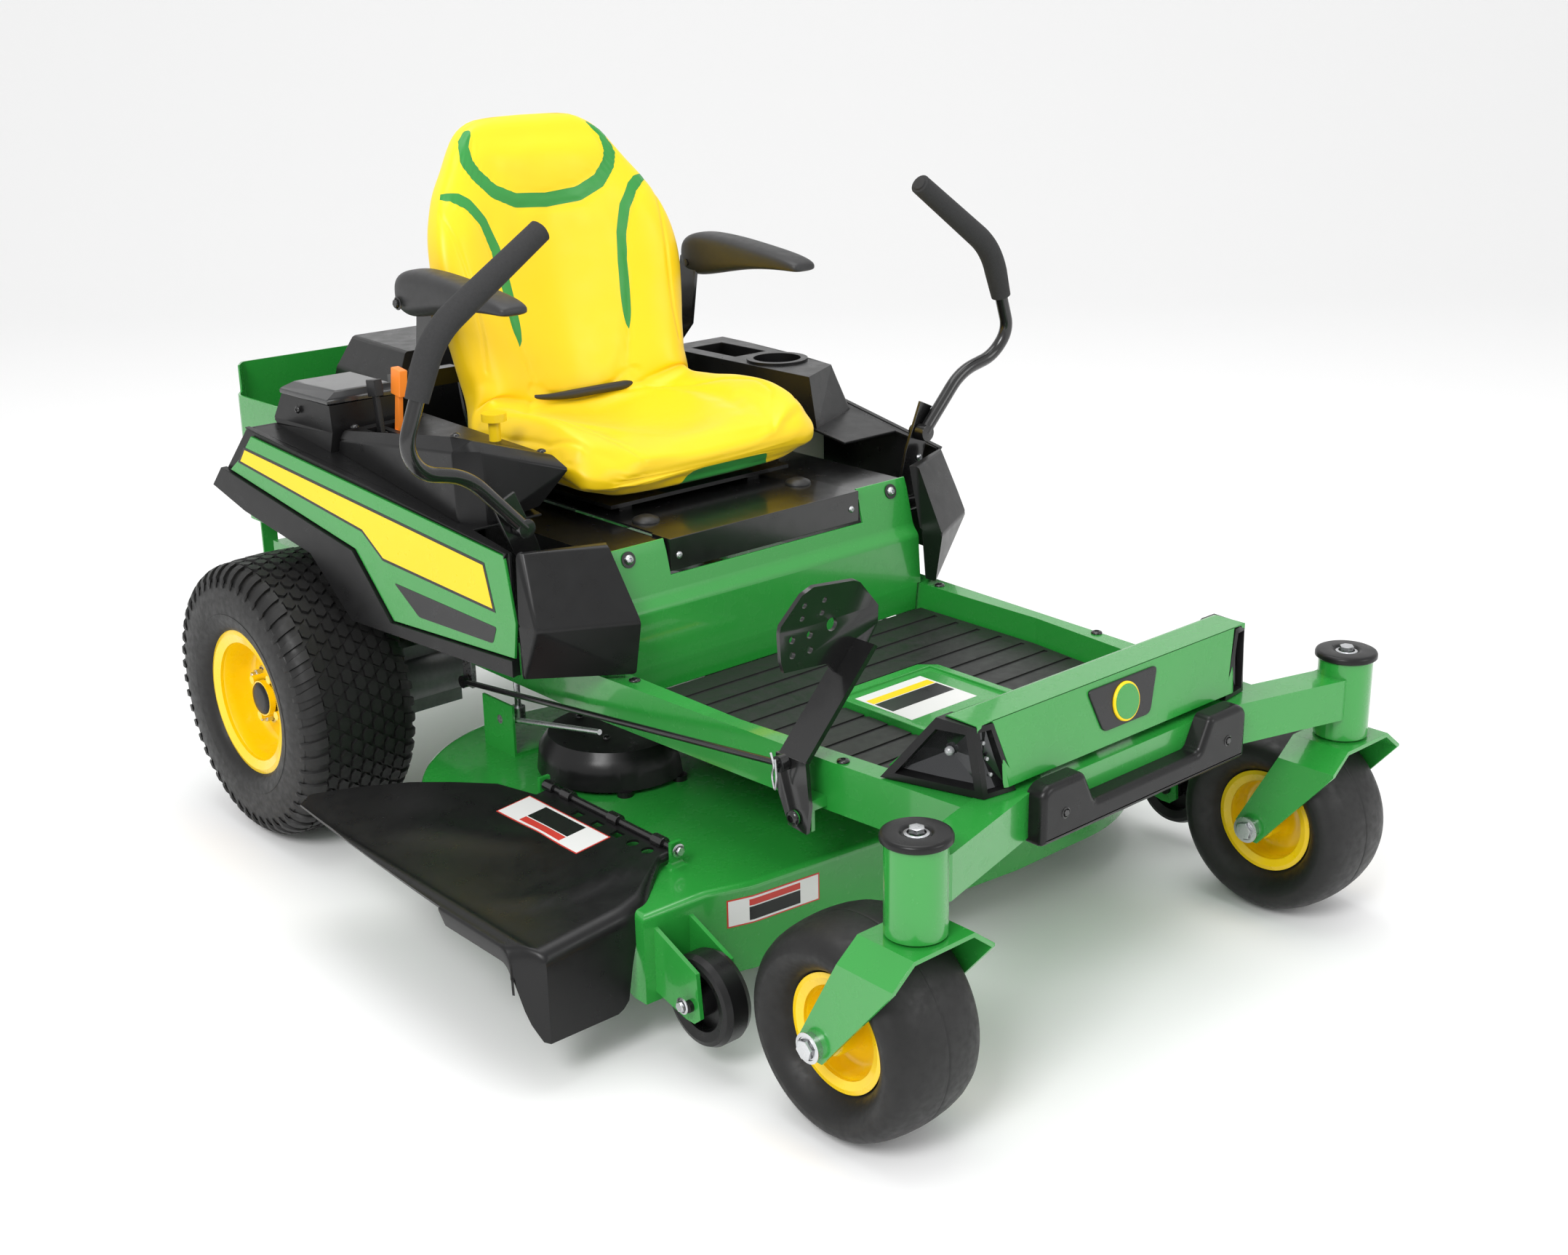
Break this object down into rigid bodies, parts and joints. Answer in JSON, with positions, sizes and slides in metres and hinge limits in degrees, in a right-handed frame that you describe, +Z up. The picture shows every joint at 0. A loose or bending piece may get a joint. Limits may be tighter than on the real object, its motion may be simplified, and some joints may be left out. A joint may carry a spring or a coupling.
{
  "type": "riding lawn mower",
  "caption": "Zero-turn riding lawn mower with a side-discharge deck, front casters, steering levers and a high-back seat.",
  "frame": {"origin": "on the ground under the middle of the whole machine's bounding box at rest", "axes": "+Z up, +Y towards the engine at the rear, -Y the driving direction, -X the discharge side"},
  "size_m": [1.2927, 1.8032, 1.11],
  "materials": {
    "green_paint": "gloss powder coat",
    "yellow_paint": "gloss paint",
    "tyre_rubber": "matt",
    "black_rubber": "matt",
    "black_plastic": "fine grain",
    "black_metal": "satin powder coat",
    "bare_steel": "satin",
    "cast_metal": "as cast",
    "tank_plastic": "satin",
    "grey_plastic": "fine grain",
    "orange_plastic": "gloss",
    "yellow_plastic": "gloss",
    "yellow_vinyl": "grained vinyl",
    "black_foam": "grained, satin"
  },
  "bodies": {
    "chassis": {"main_frame": "green_paint", "floor_hatch": "green_paint", "floor_mat": "black_rubber", "front_panel": "green_paint", "front_hood": "green_paint", "headlights": "black_plastic", "front_bumper": "black_plastic", "corner_covers": "black_plastic", "right_fender": "black_plastic", "left_fender": "black_plastic", "side_panels": "green_paint", "right_console": "black_plastic", "storage_box": "black_plastic", "seat_pedestal": "black_metal", "rear_cover": "black_plastic", "engine_guard": "green_paint", "engine_block": "cast_metal", "engine_shroud": "black_plastic", "muffler": "bare_steel", "fuel_tank": "tank_plastic", "transmissions": "cast_metal", "caster_bushes": "bare_steel"},
    "right_wheel": {"right_rear_rim": "yellow_paint", "right_rear_tyre": "tyre_rubber"},
    "left_wheel": {"left_rear_rim": "yellow_paint", "left_rear_tyre": "tyre_rubber"},
    "right_caster": {"right_caster_fork": "green_paint"},
    "left_caster": {"left_caster_fork": "green_paint"},
    "right_caster_wheel": {"right_caster_rim": "yellow_paint", "right_caster_tyre": "tyre_rubber"},
    "left_caster_wheel": {"left_caster_rim": "yellow_paint", "left_caster_tyre": "tyre_rubber"},
    "deck": {"deck_shell": "green_paint", "pulley_covers": "black_plastic", "deck_spindles": "cast_metal", "deck_belt": "black_rubber", "deck_links": "bare_steel"},
    "right_blade_rotor": {"right_blade": "bare_steel"},
    "left_blade_rotor": {"left_blade": "bare_steel"},
    "chute": {"discharge_chute": "black_plastic"},
    "right_roller": {"right_deck_roller": "black_plastic"},
    "left_roller": {"left_deck_roller": "black_plastic"},
    "pedal": {"lift_pedal": "black_metal"},
    "pull_rod": {"lift_rod": "black_metal"},
    "cross_shaft": {"lift_shaft": "bare_steel"},
    "right_carrier": {"right_lever_carrier": "black_metal"},
    "right_steering": {"right_lever": "black_metal", "right_grip": "black_rubber"},
    "left_carrier": {"left_lever_carrier": "black_metal"},
    "left_steering": {"left_lever": "black_metal", "left_grip": "black_rubber"},
    "throttle": {"throttle_lever": "orange_plastic"},
    "choke": {"choke_lever": "black_plastic"},
    "blade_switch": {"pto_knob": "yellow_plastic"},
    "lid": {"storage_lid": "grey_plastic"},
    "seat_base": {"seat_plate": "black_metal"},
    "seat": {"seat_frame": "black_metal", "seat_cushion": "yellow_vinyl"},
    "right_rest": {"right_armrest": "black_foam"},
    "left_rest": {"left_armrest": "black_foam"}
  },
  "joints": [
    {"name": "right_wheel_spin", "type": "hinge", "parent": "chassis", "child": "right_wheel", "pos_m": [-0.43635, 0.5096, 0.2286], "axis": [1, 0, 0], "continuous": true},
    {"name": "left_wheel_spin", "type": "hinge", "parent": "chassis", "child": "left_wheel", "pos_m": [0.53365, 0.5096, 0.2286], "axis": [1, 0, 0], "continuous": true},
    {"name": "right_caster_swivel", "type": "hinge", "parent": "chassis", "child": "right_caster", "pos_m": [-0.38235, -0.8454, 0.35], "axis": [0, 0, 1], "continuous": true},
    {"name": "left_caster_swivel", "type": "hinge", "parent": "chassis", "child": "left_caster", "pos_m": [0.47965, -0.8454, 0.35], "axis": [0, 0, 1], "continuous": true},
    {"name": "right_caster_spin", "type": "hinge", "parent": "right_caster", "child": "right_caster_wheel", "pos_m": [-0.38235, -0.7619, 0.1397], "axis": [1, 0, 0], "continuous": true},
    {"name": "left_caster_spin", "type": "hinge", "parent": "left_caster", "child": "left_caster_wheel", "pos_m": [0.47965, -0.7619, 0.1397], "axis": [1, 0, 0], "continuous": true},
    {"name": "deck_lift", "type": "slide", "parent": "chassis", "child": "deck", "axis": [0, 0, 1], "range_m": [-0.02, 0.035]},
    {"name": "right_blade_spin", "type": "hinge", "parent": "deck", "child": "right_blade_rotor", "pos_m": [-0.21335, -0.0534, 0.15], "axis": [0, 0, 1], "continuous": true},
    {"name": "left_blade_spin", "type": "hinge", "parent": "deck", "child": "left_blade_rotor", "pos_m": [0.31065, -0.2474, 0.15], "axis": [0, 0, 1], "continuous": true},
    {"name": "chute_hinge", "type": "hinge", "parent": "deck", "child": "chute", "pos_m": [-0.36135, -0.2304, 0.225], "axis": [0, 1, 0], "range_deg": [0, 62], "stiffness_Nm_per_rad": 4, "springref_deg": -11.46},
    {"name": "right_roller_spin", "type": "hinge", "parent": "deck", "child": "right_roller", "pos_m": [-0.43635, -0.5354, 0.097], "axis": [1, 0, 0], "continuous": true},
    {"name": "left_roller_spin", "type": "hinge", "parent": "deck", "child": "left_roller", "pos_m": [0.53365, -0.5354, 0.097], "axis": [1, 0, 0], "continuous": true},
    {"name": "pedal_pivot", "type": "hinge", "parent": "chassis", "child": "pedal", "pos_m": [-0.29735, -0.5524, 0.309], "axis": [1, 0, 0], "range_deg": [-12, 20]},
    {"name": "pull_rod_pin", "type": "hinge", "parent": "pedal", "child": "pull_rod", "pos_m": [-0.30935, -0.5344, 0.38], "axis": [1, 0, 0], "range_deg": [-20, 12]},
    {"name": "cross_shaft_turn", "type": "hinge", "parent": "chassis", "child": "cross_shaft", "pos_m": [0.04865, 0.1996, 0.35], "axis": [1, 0, 0], "range_deg": [-25, 15]},
    {"name": "right_lever_drive", "type": "hinge", "parent": "chassis", "child": "right_carrier", "pos_m": [-0.32135, -0.0354, 0.48], "axis": [1, 0, 0], "range_deg": [-10, 15], "stiffness_Nm_per_rad": 60, "springref_deg": -0.74},
    {"name": "left_lever_drive", "type": "hinge", "parent": "chassis", "child": "left_carrier", "pos_m": [0.41865, -0.0354, 0.48], "axis": [1, 0, 0], "range_deg": [-10, 15], "stiffness_Nm_per_rad": 60, "springref_deg": -0.74},
    {"name": "right_lever_swing", "type": "hinge", "parent": "right_carrier", "child": "right_steering", "pos_m": [-0.35135, -0.0354, 0.6], "axis": [0, 1, 0], "range_deg": [0, 25]},
    {"name": "left_lever_swing", "type": "hinge", "parent": "left_carrier", "child": "left_steering", "pos_m": [0.44865, -0.0354, 0.6], "axis": [0, -1, 0], "range_deg": [0, 25]},
    {"name": "throttle_turn", "type": "hinge", "parent": "chassis", "child": "throttle", "pos_m": [-0.30735, 0.3396, 0.662], "axis": [1, 0, 0], "range_deg": [-15, 20]},
    {"name": "choke_turn", "type": "hinge", "parent": "chassis", "child": "choke", "pos_m": [-0.33735, 0.3396, 0.662], "axis": [1, 0, 0], "range_deg": [-20, 15]},
    {"name": "blade_switch_pull", "type": "slide", "parent": "chassis", "child": "blade_switch", "axis": [0, 0, 1], "range_m": [0, 0.018]},
    {"name": "lid_hinge", "type": "hinge", "parent": "chassis", "child": "lid", "pos_m": [-0.26935, 0.4716, 0.713], "axis": [0, 1, 0], "range_deg": [0, 75]},
    {"name": "seat_tilt", "type": "hinge", "parent": "chassis", "child": "seat_base", "pos_m": [0.04865, -0.0884, 0.522], "axis": [1, 0, 0], "range_deg": [0, 60]},
    {"name": "seat_slide", "type": "slide", "parent": "seat_base", "child": "seat", "axis": [0, 1, 0], "range_m": [-0.04, 0.05]},
    {"name": "right_armrest_fold", "type": "hinge", "parent": "seat", "child": "right_rest", "pos_m": [-0.23635, 0.3806, 0.853], "axis": [-1, 0, 0], "range_deg": [0, 90]},
    {"name": "left_armrest_fold", "type": "hinge", "parent": "seat", "child": "left_rest", "pos_m": [0.33365, 0.3806, 0.853], "axis": [-1, 0, 0], "range_deg": [0, 90]}
  ],
  "couplings": [
    {"joint": "pedal_pivot", "follows": "deck_lift", "rad_per_m": 9.14},
    {"joint": "pull_rod_pin", "follows": "deck_lift", "rad_per_m": -9.14},
    {"joint": "cross_shaft_turn", "follows": "deck_lift", "rad_per_m": -11.76},
    {"joint": "left_blade_spin", "follows": "right_blade_spin", "ratio": 1}
  ]
}
